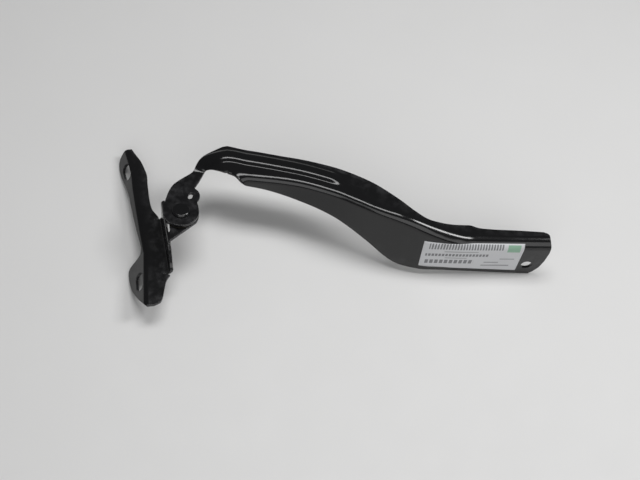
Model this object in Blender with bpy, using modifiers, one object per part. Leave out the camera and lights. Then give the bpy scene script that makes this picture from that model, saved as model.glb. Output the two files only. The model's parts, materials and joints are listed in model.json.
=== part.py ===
"""Hood hinge: a stamped base bracket and a stamped gooseneck hood arm on one riveted pivot.

Every piece is modelled in the pivot's frame: the pivot axis is Z, z = 0 is the top of the
bracket's ear, and +X runs along the arm's hood flange. One empty then moves that frame so
that the part's origin lies on the bracket's mounting face. Sizes are in millimetres.
"""

import bmesh
import bpy
import numpy as np
from mathutils import Matrix, Vector

MM = 0.001

# Sheet and fits
SHEET = 3.0
GAP = 0.3

# Pivot stack
EYE_RADIUS = 17.0
EAR_RADIUS = 17.0
BUSH_RADIUS = 15.5
BUSH_THICKNESS = 1.6
RIVET_RADIUS = 5.0
RIVET_HEAD_RADIUS = 8.7
RIVET_HEAD_HEIGHT = 2.4
RIVET_TAIL_RADIUS = 7.6
RIVET_TAIL_HEIGHT = 2.8
WASHER_RADIUS = 11.0
WASHER_THICKNESS = 1.5

# Hood arm
ARM_JOGGLE = 13.4
ARM_DROP = 18.6
ARM_REACH = 365.0
ARM_DROP_START = 203.0
ARM_DROP_RUN = 85.0
FLANGE_START = 44.0
FOLD_START = 50.0
FOLD_RUN = 15.0
FLANGE_Y = -31.0
BEAM_BEND_RADIUS = 5.5
HOOD_BEND_RADIUS = 9.0
HOOD_CORNER_RADIUS = 5.0
BEAD_HEIGHT = 2.2
BEAD_HALF_WIDTH = 5.6
BEAD_START = 8.0
BEAD_END = 158.0
BEAD_RUNOUT = 16.0
LOBE_RADIUS = 17.8
GAUGE_HOLE_RADIUS = 2.1
GAUGE_HOLE_LENGTH = 7.2
GAUGE_HOLE_TURN = 72.0
GAUGE_HOLE = (8.6, 18.4)
HOOD_HOLE_RADIUS = 5.4
HOOD_HOLE_PITCH = 76.0
HOOD_HOLE_FROM_END = 19.5
HOOD_HOLE_DROP = 33.5

# Base bracket
BRACKET_TURN = 6.4
BRACKET_DROP = 30.0
LUG_TILT = 35.0
LUG_BEND_RADIUS = 6.0
WALL_BEND_RADIUS = 5.0
EAR_BEND_RADIUS = 3.5
BEND_LINE_X = -43.0
BEND_LINE_Y = 10.0
WALL_OFFSET = 27.0
LOWER_LUG_DEPTH = 29.5
UPPER_LUG_DEPTH = 21.0
LUG_SLOT_RADIUS = 5.4
LUG_SLOT_LENGTH = 20.0
LOWER_SLOT = (-63.0, 10.4)
UPPER_SLOT = (72.0, 9.6)
SLOT_TURN = 7.0
EAR_RELIEF_RADIUS = 1.4
EAR_RELIEF_LENGTH = 11.0
EAR_RELIEF_PLACE = (28.1, -28.5)
UPPER_CREASE = 65.0
UPPER_END_SLOPE = 0.1
MOUNT_FROM_SLOT = (15.5, 7.6)
WALL_FLARE = 2.2
EAR_REACH = 42.0
BRACKET_WEB_STEPS = 5

# Label on the hood flange
LABEL_LENGTH = 101.0
LABEL_HEIGHT = 36.0
LABEL_SLANT = 5.0
LABEL_THICKNESS = 0.25
LABEL_FROM_END = 130.0
LABEL_BELOW_WEB = 3.0
LABEL_GAP = 0.06

# Facets
ARC_STEPS = 6
NECK_SPLIT = 2
WEB_STEPS = 18
FLANGE_STEPS = 4
STATION_STEP = 5.0


def smooth(keys, at):
    """A smooth curve through the keys (place, value, ...), read at one place."""
    keys = np.asarray(keys, float)
    x, y = keys[:, 0], keys[:, 1:]
    slopes = np.gradient(y, x, axis=0)
    i = int(np.clip(np.searchsorted(x, at) - 1, 0, len(x) - 2))
    h = x[i + 1] - x[i]
    t = np.clip((at - x[i]) / h, 0.0, 1.0)
    a = (1 + 2 * t) * (1 - t) ** 2
    b = t * (1 - t) ** 2
    c = t * t * (3 - 2 * t)
    d = t * t * (t - 1)
    return a * y[i] + b * h * slopes[i] + c * y[i + 1] + d * h * slopes[i + 1]


def ease(t):
    t = np.clip(t, 0.0, 1.0)
    return t * t * (3 - 2 * t)


def turn_points(start, along, across, radius, angle, steps):
    """Points of a bend that starts at a point, runs along one direction and turns towards another."""
    out = []
    for k in range(1, steps + 1):
        a = np.radians(angle) * k / steps
        out.append(start + radius * (np.sin(a) * along + (1 - np.cos(a)) * across))
    return out


def turned(along, across, angle):
    a = np.radians(angle)
    return np.cos(a) * along + np.sin(a) * across


def new_object(name, mesh, collection, frame):
    obj = bpy.data.objects.new(name, mesh)
    collection.objects.link(obj)
    obj.parent = frame
    return obj


def sheet_mesh(name, rows, skip):
    """An open sheet through rows of points. skip(row, column) leaves out the face after that point."""
    bm = bmesh.new()
    grid = [[bm.verts.new(Vector(p) * MM) for p in row] for row in rows]
    for i in range(len(rows) - 1):
        for j in range(len(rows[0]) - 1):
            if not skip(i, j):
                bm.faces.new((grid[i][j], grid[i][j + 1], grid[i + 1][j + 1], grid[i + 1][j]))
    loose = [v for v in bm.verts if not v.link_faces]
    bmesh.ops.delete(bm, geom=loose, context="VERTS")
    bmesh.ops.recalc_face_normals(bm, faces=bm.faces)
    mesh = bpy.data.meshes.new(name)
    bm.to_mesh(mesh)
    bm.free()
    return mesh


def thicken(obj):
    solid = obj.modifiers.new("sheet", "SOLIDIFY")
    solid.thickness = SHEET * MM
    solid.offset = 0.0
    solid.use_even_offset = True


def prism(name, points, low, high, collection):
    """A closed outline in X and Y, extruded from one height to another, as a mesh."""
    curve = bpy.data.curves.new(name, "CURVE")
    curve.dimensions = "2D"
    curve.fill_mode = "BOTH"
    curve.extrude = (high - low) / 2 * MM
    spline = curve.splines.new("POLY")
    spline.points.add(len(points) - 1)
    for point, place in zip(spline.points, points):
        point.co = (place[0] * MM, place[1] * MM, 0.0, 1.0)
    spline.use_cyclic_u = True
    guide = bpy.data.objects.new(name + "_outline", curve)
    collection.objects.link(guide)
    graph = bpy.context.evaluated_depsgraph_get()
    mesh = bpy.data.meshes.new_from_object(guide.evaluated_get(graph))
    bpy.data.objects.remove(guide)
    bm = bmesh.new()
    bm.from_mesh(mesh)
    bmesh.ops.remove_doubles(bm, verts=bm.verts, dist=1e-6)
    bmesh.ops.translate(bm, verts=bm.verts, vec=(0, 0, (high + low) / 2 * MM))
    bmesh.ops.recalc_face_normals(bm, faces=bm.faces)
    bm.to_mesh(mesh)
    bm.free()
    return mesh


def arc(centre, radius, start, end, steps):
    """Points on a circle from one angle in degrees to another."""
    angles = np.radians(np.linspace(start, end, steps))
    return [(centre[0] + radius * np.cos(a), centre[1] + radius * np.sin(a)) for a in angles]


def slot_outline(length, radius, steps=9):
    half = length / 2 - radius
    return arc((half, 0), radius, -90, 90, steps) + arc((-half, 0), radius, 90, 270, steps)


def helper(name, mesh, cutters, frame, place=None):
    """A cutter, hidden from renders, at a place in the pivot's frame."""
    obj = new_object(name, mesh, cutters, frame)
    obj.hide_render = True
    obj.display_type = "WIRE"
    if place is not None:
        obj.matrix_local = place
    return obj


def combine(obj, other, operation):
    step = obj.modifiers.new(other.name, "BOOLEAN")
    step.operation = operation
    step.object = other
    step.solver = "EXACT"


def material(name, colour, roughness, metallic=0.0):
    made = bpy.data.materials.new(name)
    made.use_nodes = True
    shader = made.node_tree.nodes["Principled BSDF"]
    shader.inputs["Base Color"].default_value = (*colour, 1.0)
    shader.inputs["Roughness"].default_value = roughness
    shader.inputs["Metallic"].default_value = metallic
    return made


def finish(obj, made):
    obj.data.materials.append(made)
    obj.data.shade_smooth()
    obj.data.set_sharp_from_angle(angle=np.radians(35))


# Hood arm

EYE_LEVEL = GAP + BUSH_THICKNESS + GAP + SHEET / 2
BEAM_LEVEL = EYE_LEVEL + ARM_JOGGLE
HOOD_LEVEL = BEAM_LEVEL - ARM_DROP


def eye_stations():
    """Left and right ends of the sections across the eye, from its round end up to the waist."""
    out = []
    for a in (6, 18, 30, 42, 54, 66, 78, 90):
        x = EYE_RADIUS * np.sin(np.radians(a))
        y = -EYE_RADIUS * np.cos(np.radians(a))
        out.append(((-x, y), (x, y), 0.0))
    return out


NECK_EDGE = [
    # outer x and y, inner x and y, share of the joggle climbed
    (-16.8, 6.0, 16.4, 6.0, 0.0),
    (-15.6, 11.5, 15.2, 11.5, 0.0),
    (-14.6, 15.5, LOBE_RADIUS - 0.8, 15.5, 0.0),
    (-13.4, 20.0, LOBE_RADIUS, 20.0, 0.0),
    (-12.0, 24.5, LOBE_RADIUS - 1.6, 24.5, 0.0),
    (-10.2, 28.5, 12.8, 28.5, 0.0),
    (-7.4, 33.0, 14.4, 32.5, 0.0),
    (-2.2, 38.0, 16.8, 37.0, 0.0),
    (3.0, 42.2, 18.9, 41.5, 0.0),
    (8.4, 46.4, 20.8, 45.8, 0.0),
    (11.8, 50.6, 22.4, 49.0, 0.02),
    (14.2, 55.6, 24.4, 50.2, 0.16),
    (18.4, 60.8, 27.6, 48.6, 0.36),
    (25.2, 65.2, 32.0, 45.2, 0.62),
    (33.2, 67.8, 37.0, 41.4, 0.88),
    (39.4, 70.4, 41.2, 39.0, 0.98),
]


def neck_stations():
    """Outer and inner ends of the sections up the neck, with the share of the joggle climbed."""
    keys = [(i, *key) for i, key in enumerate(NECK_EDGE)]
    out = []
    for k in range(NECK_SPLIT * (len(keys) - 1) + 1):
        outer_x, outer_y, inner_x, inner_y, climb = smooth(keys, k / NECK_SPLIT)
        out.append(((outer_x, outer_y), (inner_x, inner_y), climb))
    return out


BEAM_EDGE = [
    # x, outer y, bend y
    (FLANGE_START, 71.5, 31.8),
    (48, 70.6, 32.3),
    (52, 69.4, 32.6),
    (62, 66.9, 30.6),
    (74, 64.7, 29.4),
    (96, 60.2, 27.0),
    (116, 56.4, 23.2),
    (138, 50.6, 16.2),
    (153, 45.6, 10.2),
    (168, 38.8, 2.6),
    (188, 27.2, -7.8),
    (211, 8.2, -17.4),
    (224, -2.6, -21.6),
    (236, -9.4, -25.2),
    (250, -10.9, -28.0),
    (264, -10.1, -29.8),
    (276, -8.7, FLANGE_Y),
    (283, -8.3, FLANGE_Y),
    (290, -10.9, FLANGE_Y),
    (304, -12.6, FLANGE_Y),
    (328, -13.6, FLANGE_Y),
    (355, -15.2, FLANGE_Y),
    (ARM_REACH, -16.0, FLANGE_Y),
]

FLANGE_EDGE = [
    # x, depth of the lower edge below the beam's web, how far it leans out
    (FLANGE_START, 1.0, 0.0),
    (48, 3.0, 0.0),
    (52, 5.4, 0.0),
    (57, 8.6, 0.0),
    (62, 10.2, 0.0),
    (68, 11.2, 0.0),
    (78, 12.8, 0.0),
    (96, 16.6, 1.0),
    (116, 20.0, 3.4),
    (138, 24.2, 4.6),
    (153, 28.6, 5.0),
    (168, 35.6, 4.6),
    (188, 46.6, 4.6),
    (200, 54.6, 5.4),
    (211, 59.6, 6.2),
    (236, 61.8, 5.2),
    (260, 62.6, 1.6),
    (288, 64.2, 0.0),
    (328, 66.6, 0.0),
    (ARM_REACH, 68.0, 0.0),
]


def arm_level(x):
    """Height of the beam's web, which drops to the hood end behind the S-curve."""
    return BEAM_LEVEL - ARM_DROP * ease((x - ARM_DROP_START) / ARM_DROP_RUN)


def bead_at(x):
    """How far the pressed bead has risen at a section, and its place as a share of the web's width."""
    run = ease((x - BEAD_START) / BEAD_RUNOUT) * ease((BEAD_END - x) / BEAD_RUNOUT)
    centre = 0.38 + 0.12 * ease((x - 40.0) / 110.0)
    return run, centre


def web_row(outer, inner, levels, x):
    """Points across the web with the bead raised on it."""
    outer = np.array(outer, float)
    inner = np.array(inner, float)
    width = np.linalg.norm(inner - outer)
    run, centre = bead_at(x)
    flank = BEAD_HALF_WIDTH / 2
    row = []
    for k in range(WEB_STEPS + 1):
        share = k / WEB_STEPS
        place = outer + (inner - outer) * share
        off = abs(share - centre) * width
        rise = BEAD_HEIGHT * run * ease((BEAD_HALF_WIDTH + flank - off) / (2 * flank))
        row.append(np.array([place[0], place[1], levels + rise]))
    return row


def arm_rows():
    """Mid-surface points of the arm, section by section, and the first section with a flange."""
    rows = []
    for outer, inner, climb in eye_stations() + neck_stations():
        level = EYE_LEVEL + ARM_JOGGLE * climb
        row = web_row(outer, inner, level, outer[0])
        rows.append(row + [row[-1]] * (ARC_STEPS + FLANGE_STEPS))
    first = len(rows)
    count = int(round((ARM_REACH - FLANGE_START) / STATION_STEP))
    out = np.array([0.0, -1.0, 0.0])
    down = np.array([0.0, 0.0, -1.0])
    for k in range(count + 1):
        x = FLANGE_START + (ARM_REACH - FLANGE_START) * k / count
        outer_y, bend_y = smooth(BEAM_EDGE, x)
        depth, lean = smooth(FLANGE_EDGE, x)
        radius = BEAM_BEND_RADIUS + (HOOD_BEND_RADIUS - BEAM_BEND_RADIUS) * ease((x - 190) / 60)
        level = arm_level(x)
        face_y = max(bend_y, FLANGE_Y) + SHEET / 2
        inner = (x, face_y + radius)
        row = web_row((x, outer_y), inner, level, x)
        turn = 1.0 + 89.0 * ease((x - FOLD_START) / FOLD_RUN)
        width = level - BEAM_LEVEL + depth + (np.pi / 2 - 1) * radius * turn / 90
        bend = min(radius * np.pi / 2, 0.75 * width)
        row += turn_points(row[-1], out, down, bend / np.radians(turn), turn, ARC_STEPS)
        corner = row[-1]
        rest = turned(out, down, turn) * (width - bend)
        for j in range(1, FLANGE_STEPS + 1):
            share = j / FLANGE_STEPS
            place = corner + rest * share + out * max(lean, 0.0) * share
            place[1] = max(place[1], FLANGE_Y + SHEET / 2)
            row.append(place)
        rows.append(row)
    return rows, first


def end_outline():
    """What is cut from the hood end, in X and height: the flange's long chamfer and round nose."""
    low = BEAM_LEVEL - 70.0
    top = HOOD_LEVEL + 20.0
    x = ARM_REACH
    return [
        (x - 15.0, low - 10.0),
        (x - 15.0, low + 1.4),
        (x - 9.6, low + 6.2),
        (x - 5.2, low + 13.4),
        (x - 2.4, low + 24.0),
        (x - 1.0, low + 38.0),
        (x - 1.4, HOOD_LEVEL - 5.0),
        (x - 2.6, HOOD_LEVEL),
        (x - 4.8, top),
        (x + 20.0, top),
        (x + 20.0, low - 10.0),
    ]


def corner_outline():
    """What is cut from the web's far corner at the hood end, in plan."""
    r = HOOD_CORNER_RADIUS
    x = ARM_REACH - 2.6
    y = BEAM_EDGE[-1][1]
    far = 12.0
    return arc((x - r, y - r), r, 88, 2, 7) + [(x + far, y - r), (x + far, y + far), (x - r, y + far)]


def standing(x, y, z):
    """A place whose own X and Y lie along +X and up, for outlines drawn on the hood flange."""
    turn = Matrix.Rotation(np.radians(90), 4, "X")
    return Matrix.Translation(Vector((x, y, z)) * MM) @ turn


def make_arm(parts, cutters, frame):
    rows, first = arm_rows()
    mesh = sheet_mesh("hood_arm", rows, lambda i, j: i < first and j >= WEB_STEPS)
    arm = new_object("hood_arm", mesh, parts, frame)
    thicken(arm)
    cuts = [("arm_end", end_outline(), 60.0, standing(0, 0, 0))]
    cuts.append(("arm_corner", corner_outline(), 60.0, None))
    bore = arc((0, 0), RIVET_RADIUS + GAP, 5, 355, 36)
    cuts.append(("arm_bore", bore, 20.0, None))
    gauge = slot_outline(GAUGE_HOLE_LENGTH, GAUGE_HOLE_RADIUS)
    turn = Matrix.Rotation(np.radians(GAUGE_HOLE_TURN), 4, "Z")
    spot = Matrix.Translation(Vector((*GAUGE_HOLE, 0)) * MM) @ turn
    cuts.append(("gauge_hole", gauge, 20.0, spot))
    for k in range(2):
        x = ARM_REACH - HOOD_HOLE_FROM_END - HOOD_HOLE_PITCH * k
        place = standing(x, FLANGE_Y, HOOD_LEVEL - HOOD_HOLE_DROP)
        hole = arc((0, 0), HOOD_HOLE_RADIUS, 0, 345, 24)
        cuts.append((f"hood_hole_{k + 1}", hole, 12.0, place))
    for name, outline, reach, place in cuts:
        mesh = prism(name, outline, -reach, reach, cutters)
        combine(arm, helper(name + "_cut", mesh, cutters, frame, place), "DIFFERENCE")
    return arm


# Base bracket, in its own turned frame: u runs along the bend line, v across the web

WEB_LEVEL = -BRACKET_DROP - SHEET / 2
EAR_LEVEL = -SHEET / 2
BRACKET_LOW = -94.5
BRACKET_HIGH = 99.5
WALL_START = -61.0
WALL_END = 3.5
EAR_START = -44.0

BEND_LINE = [
    # u, where the bend to the lugs starts across the web
    (BRACKET_LOW, 3.7),
    (-33, 8.1),
    (-12, 6.6),
    (20, 4.6),
    (48, 3.2),
    (60, 3.2),
    (BRACKET_HIGH, 1.2),
]

LUG_EDGE = [
    # u, how far the turned lug flange reaches from the start of its bend
    (BRACKET_LOW, 1.8),
    (-90, 5.2),
    (-84, 10.6),
    (-75, 0.59 * LOWER_LUG_DEPTH),
    (-67, 0.77 * LOWER_LUG_DEPTH),
    (-59, 0.89 * LOWER_LUG_DEPTH),
    (-50, 0.97 * LOWER_LUG_DEPTH),
    (-43, LOWER_LUG_DEPTH),
    (-39, 0.97 * LOWER_LUG_DEPTH),
    (-36.6, 0.84 * LOWER_LUG_DEPTH),
    (-34.6, 15.0),
    (-32.4, 10.0),
    (-28.4, 6.8),
    (-20, 6.6),
    (-12, 7.4),
    (8, 9.2),
    (29, 10.6),
    (49, 12.6),
    (57, 15.4),
    (66, 0.86 * UPPER_LUG_DEPTH),
    (77, 0.98 * UPPER_LUG_DEPTH),
    (86, UPPER_LUG_DEPTH),
    (92, 0.92 * UPPER_LUG_DEPTH),
    (96, 0.76 * UPPER_LUG_DEPTH),
    (BRACKET_HIGH, 8.0),
]

RIGHT_EDGE = [
    # u, right edge of the web where it has no wall
    (BRACKET_LOW, 9.0),
    (-92.5, 13.8),
    (-88, 17.2),
    (-82, 19.0),
    (-75, 20.8),
    (-69, 22.6),
    (-65, 25.0),
    (WALL_START, 28.0),
    (WALL_END, 22.6),
    (8, 20.8),
    (16, 16.4),
    (24, 14.9),
    (32, 14.4),
    (49, 14.2),
    (61, 14.4),
    (70, 12.6),
    (76, 11.2),
    (81, 9.7),
    (91, 5.3),
    (96, 3.2),
    (BRACKET_HIGH, 1.9),
]


def web_fall(u):
    """The web's upper end is bent down a little, past a crease."""
    return UPPER_END_SLOPE * max(0.0, u - UPPER_CREASE)


def bend_start(u):
    return np.interp(u, *zip(*BEND_LINE))


def wall_top(u):
    """Height where the wall ends, which falls to the web at its near end."""
    full = EAR_LEVEL - (EAR_BEND_RADIUS - SHEET / 2)
    low = WEB_LEVEL + WALL_BEND_RADIUS + SHEET / 2 + 0.5
    return low + (full - low) * ease((u - WALL_START) / (EAR_START - WALL_START))


def bracket_row(u):
    """Mid-surface points of one section: lug flange, bend, web, bend, wall, bend and ear."""
    fall = web_fall(u)
    level = WEB_LEVEL - fall
    left = np.array([-1.0, 0.0])
    right = np.array([1.0, 0.0])
    up = np.array([0.0, 1.0])
    bend = LUG_BEND_RADIUS - SHEET / 2
    tilt = np.radians(LUG_TILT)
    reach = smooth(LUG_EDGE, u)[0] - fall / np.cos(tilt)
    turn = min(90.0 - LUG_TILT, np.degrees(0.9 * reach / bend))
    corner = np.array([bend_start(u) - fall * np.tan(tilt), level])
    lug = turn_points(corner, left, -up, bend, turn, ARC_STEPS)
    down = turned(left, -up, turn)
    rest = reach - bend * np.radians(turn)
    tip = lug[-1]
    lug += [tip + down * rest * (j + 1) / FLANGE_STEPS for j in range(FLANGE_STEPS)]
    inner = WALL_BEND_RADIUS + SHEET / 2
    wall_v = WALL_OFFSET + WALL_FLARE * (WALL_END - u) / 50.0 - SHEET / 2
    walled = WALL_START <= u <= WALL_END
    edge = wall_v - inner if walled else smooth(RIGHT_EDGE, u)[0]
    steps = BRACKET_WEB_STEPS
    far = np.array([edge, level])
    web = [corner + (far - corner) * k / steps for k in range(steps + 1)]
    wall = turn_points(web[-1], right, up, inner, 90, ARC_STEPS)
    foot = wall[-1]
    height = wall_top(u) - foot[1]
    wall += [foot + up * height * (j + 1) / FLANGE_STEPS for j in range(FLANGE_STEPS)]
    ear = turn_points(wall[-1], up, right, EAR_BEND_RADIUS - SHEET / 2, 90, ARC_STEPS)
    end = ear[-1]
    ear += [end + right * EAR_REACH * (j + 1) / FLANGE_STEPS for j in range(FLANGE_STEPS)]
    flat = lug[::-1] + web + wall + ear
    return [np.array([p[0], u, p[1]]) for p in flat]


def bracket_sections():
    """Places of the sections along the bracket, closer where its outline turns."""
    ends = [BRACKET_LOW, -88, WALL_START, EAR_START, -38, -31, WALL_END, 20, 54, 92, BRACKET_HIGH]
    counts = [4, 8, 6, 3, 6, 6, 4, 5, 9, 5]
    places = [BRACKET_LOW]
    for start, end, count in zip(ends, ends[1:], counts):
        places += list(np.linspace(start, end, count + 1)[1:])
    return places


def bracket_frame():
    """The bracket's own place in the pivot's frame."""
    turn = Matrix.Rotation(np.radians(BRACKET_TURN), 4, "Z")
    return Matrix.Translation(Vector((BEND_LINE_X, BEND_LINE_Y, 0)) * MM) @ turn


def ear_outline(centre):
    """What is cut away around the ear, in v and u: the disc, its tangent and the root stay."""
    v, u = centre
    wall = WALL_OFFSET + 0.5
    disc = arc((v, u), EAR_RADIUS, 90, -38, 22)
    root = (wall + 2.0, EAR_START + 0.5)
    outer = 120.0
    around = [(wall, -80.0), (outer, -80.0), (outer, 40.0), (wall, 40.0)]
    return [(wall, u + EAR_RADIUS)] + disc + [root, (wall, root[1] - 1.0)] + around


def lug_point(u, drop):
    """A place on a lug's mid-surface, by its distance from the start of the bend."""
    bend = LUG_BEND_RADIUS - SHEET / 2
    turn = np.radians(90.0 - LUG_TILT)
    rest = drop - bend * turn
    v = bend_start(u) - bend * np.sin(turn) - rest * np.cos(turn)
    z = WEB_LEVEL - bend * (1 - np.cos(turn)) - rest * np.sin(turn)
    return Vector((v, u, z))


def lug_place(u, drop, angle=0.0):
    """A place on a lug, with its own Z out of the outer face and its own X along the bend line."""
    point = lug_point(u, drop)
    along = (lug_point(u + 1.0, drop) - point).normalized()
    down = (lug_point(u, drop + 1.0) - point).normalized()
    out = along.cross(down).normalized()
    basis = Matrix((along, out.cross(along), out)).transposed().to_4x4()
    return Matrix.Translation(point * MM) @ basis @ Matrix.Rotation(np.radians(angle), 4, "Z")


def make_bracket(parts, cutters, frame):
    places = bracket_sections()
    rows = [bracket_row(u) for u in places]
    wall_from = ARC_STEPS + FLANGE_STEPS + BRACKET_WEB_STEPS
    ear_from = wall_from + ARC_STEPS + FLANGE_STEPS

    def skip(i, j):
        near, far = places[i], places[i + 1]
        if j >= ear_from:
            return near < EAR_START or far > WALL_END
        if j >= wall_from:
            return near < WALL_START or far > WALL_END
        return False

    own = bracket_frame()
    bracket = new_object("base_bracket", sheet_mesh("base_bracket", rows, skip), parts, frame)
    bracket.matrix_local = own
    thicken(bracket)
    centre = own.inverted() @ Vector((0, 0, 0))
    centre = (centre.x / MM, centre.y / MM)
    cuts = [("ear_outline", ear_outline(centre), 8.0, own)]
    bore = arc((0, 0), RIVET_RADIUS + GAP, 5, 355, 36)
    cuts.append(("ear_bore", bore, 20.0, None))
    relief = slot_outline(EAR_RELIEF_LENGTH, EAR_RELIEF_RADIUS)
    turn = Matrix.Rotation(np.radians(90), 4, "Z")
    spot = Vector((*EAR_RELIEF_PLACE, 0)) * MM
    cuts.append(("ear_relief", relief, 8.0, own @ Matrix.Translation(spot) @ turn))
    slot = slot_outline(LUG_SLOT_LENGTH, LUG_SLOT_RADIUS)
    cuts.append(("lower_slot", slot, 9.0, own @ lug_place(*LOWER_SLOT, SLOT_TURN)))
    cuts.append(("upper_slot", slot, 9.0, own @ lug_place(*UPPER_SLOT, SLOT_TURN)))
    for name, outline, reach, place in cuts:
        mesh = prism(name, outline, -reach, reach, cutters)
        combine(bracket, helper(name + "_cut", mesh, cutters, frame, place), "DIFFERENCE")
    return bracket


# Pivot

def turned_piece(name, profile, parts, frame, steps=40):
    """A turned piece from its outer profile, radius and height, run from top to bottom."""
    mesh = bpy.data.meshes.new(name)
    points = [(r * MM, 0.0, z * MM) for r, z in profile]
    mesh.from_pydata(points, [(i, i + 1) for i in range(len(points) - 1)], [])
    obj = new_object(name, mesh, parts, frame)
    screw = obj.modifiers.new("turn", "SCREW")
    screw.axis = "Z"
    screw.steps = steps
    screw.render_steps = steps
    screw.use_merge_vertices = True
    screw.merge_threshold = 0.000001
    screw.use_smooth_shade = True
    return obj


def ring(name, inner, outer, low, high, edge, parts, frame):
    """A flat ring with its outer edge eased."""
    profile = [
        (inner, high),
        (outer - edge, high),
        (outer, high - edge),
        (outer, low + edge),
        (outer - edge, low),
        (inner, low),
        (inner, high),
    ]
    return turned_piece(name, profile, parts, frame)


def make_pivot(parts, frame):
    eye_top = EYE_LEVEL + SHEET / 2
    head = eye_top + GAP
    washer_top = -SHEET - GAP
    tail = washer_top - WASHER_THICKNESS - GAP
    profile = [
        (0.0, head + RIVET_HEAD_HEIGHT),
        (0.52 * RIVET_HEAD_RADIUS, head + RIVET_HEAD_HEIGHT),
        (0.8 * RIVET_HEAD_RADIUS, head + 0.8 * RIVET_HEAD_HEIGHT),
        (0.96 * RIVET_HEAD_RADIUS, head + 0.42 * RIVET_HEAD_HEIGHT),
        (RIVET_HEAD_RADIUS, head + 0.14 * RIVET_HEAD_HEIGHT),
        (RIVET_HEAD_RADIUS, head),
        (RIVET_RADIUS, head),
        (RIVET_RADIUS, tail),
        (RIVET_TAIL_RADIUS, tail),
        (RIVET_TAIL_RADIUS, tail - 0.3 * RIVET_TAIL_HEIGHT),
        (0.86 * RIVET_TAIL_RADIUS, tail - 0.8 * RIVET_TAIL_HEIGHT),
        (0.6 * RIVET_TAIL_RADIUS, tail - RIVET_TAIL_HEIGHT),
        (0.0, tail - RIVET_TAIL_HEIGHT),
    ]
    rivet = turned_piece("pivot_rivet", profile, parts, frame)
    bore = RIVET_RADIUS + GAP
    bush = ring("pivot_bush", bore, BUSH_RADIUS, GAP, GAP + BUSH_THICKNESS, 0.3, parts, frame)
    low = washer_top - WASHER_THICKNESS
    washer = ring("rivet_washer", bore, WASHER_RADIUS, low, washer_top, 0.3, parts, frame)
    return rivet, bush, washer


# Label

def make_label(parts, cutters, frame):
    """A thin sticker that follows the outer face of the hood flange and its bend."""
    rows, first = arm_rows()
    start = ARM_REACH - LABEL_FROM_END
    margin = 1.5 * STATION_STEP
    near = []
    for row in rows[first:]:
        if start - margin < row[0][0] < start + LABEL_LENGTH + margin:
            near.append(row[WEB_STEPS:])
    label = new_object("label", sheet_mesh("label", near, lambda i, j: False), parts, frame)
    solid = label.modifiers.new("paper", "SOLIDIFY")
    solid.thickness = LABEL_THICKNESS * MM
    solid.offset = 2 * (SHEET / 2 + LABEL_GAP) / LABEL_THICKNESS + 1
    solid.use_even_offset = True
    top = HOOD_LEVEL + SHEET / 2 - LABEL_BELOW_WEB
    outline = [
        (start, top - LABEL_HEIGHT),
        (start + LABEL_LENGTH, top - LABEL_HEIGHT - LABEL_SLANT),
        (start + LABEL_LENGTH, top),
        (start, top),
    ]
    mesh = prism("label_trim", outline, 0.0, 60.0, cutters)
    combine(label, helper("label_trim", mesh, cutters, frame, standing(0, 0, 0)), "INTERSECT")
    return label


def main():
    for obj in list(bpy.data.objects):
        bpy.data.objects.remove(obj)
    scene = bpy.context.scene.collection
    parts = bpy.data.collections.new("hood_hinge")
    cutters = bpy.data.collections.new("cutters")
    scene.children.link(parts)
    scene.children.link(cutters)
    frame = bpy.data.objects.new("pivot_frame", None)
    parts.objects.link(frame)
    gloss_black = material("gloss_black", (0.012, 0.012, 0.013), 0.22)
    zinc = material("dark_zinc", (0.06, 0.06, 0.065), 0.3, 0.6)
    bronze = material("bush_bronze", (0.32, 0.27, 0.17), 0.45, 0.7)
    paper = material("label_white", (0.72, 0.73, 0.74), 0.55)
    finish(make_arm(parts, cutters, frame), gloss_black)
    finish(make_bracket(parts, cutters, frame), gloss_black)
    rivet, bush, washer = make_pivot(parts, frame)
    finish(rivet, gloss_black)
    finish(bush, bronze)
    finish(washer, zinc)
    finish(make_label(parts, cutters, frame), paper)
    along, down = MOUNT_FROM_SLOT
    mount = bracket_frame() @ lug_place(LOWER_SLOT[0] + along, LOWER_SLOT[1] + down)
    face = mount @ Vector((0, 0, SHEET / 2 * MM))
    frame.location = -face


main()
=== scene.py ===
import json

import bpy
import bmesh
import numpy as np
from mathutils import Matrix, Vector
from mathutils.bvhtree import BVHTree


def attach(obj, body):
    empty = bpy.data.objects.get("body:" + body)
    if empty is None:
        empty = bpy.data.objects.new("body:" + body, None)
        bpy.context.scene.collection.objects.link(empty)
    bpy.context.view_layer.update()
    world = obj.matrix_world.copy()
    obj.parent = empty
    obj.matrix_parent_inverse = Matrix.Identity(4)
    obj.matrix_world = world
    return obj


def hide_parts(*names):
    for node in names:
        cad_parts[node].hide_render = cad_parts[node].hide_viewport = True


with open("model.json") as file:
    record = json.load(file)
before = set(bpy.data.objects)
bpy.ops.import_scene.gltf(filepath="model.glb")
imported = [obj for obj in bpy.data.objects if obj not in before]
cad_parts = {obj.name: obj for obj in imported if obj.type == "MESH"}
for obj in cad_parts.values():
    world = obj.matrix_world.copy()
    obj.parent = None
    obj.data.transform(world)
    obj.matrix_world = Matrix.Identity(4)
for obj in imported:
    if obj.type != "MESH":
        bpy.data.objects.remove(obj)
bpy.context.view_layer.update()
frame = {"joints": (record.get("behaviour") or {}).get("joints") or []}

# Looks of the hood hinge: its dip-coated pressings, riveted pivot and sticker on a pale table.
# Sizes are in millimetres, counted from the pivot on top of the bracket's ear.

MM = 0.001
pivot = Vector(frame["joints"][0]["pos_m"])


def from_pivot(x, y, z):
    """A place in the part's frame from millimetres counted from the pivot, on top of the ear."""
    return pivot + Vector((x, y, z)) * MM


# Camera, at the photograph's place and turn

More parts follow.
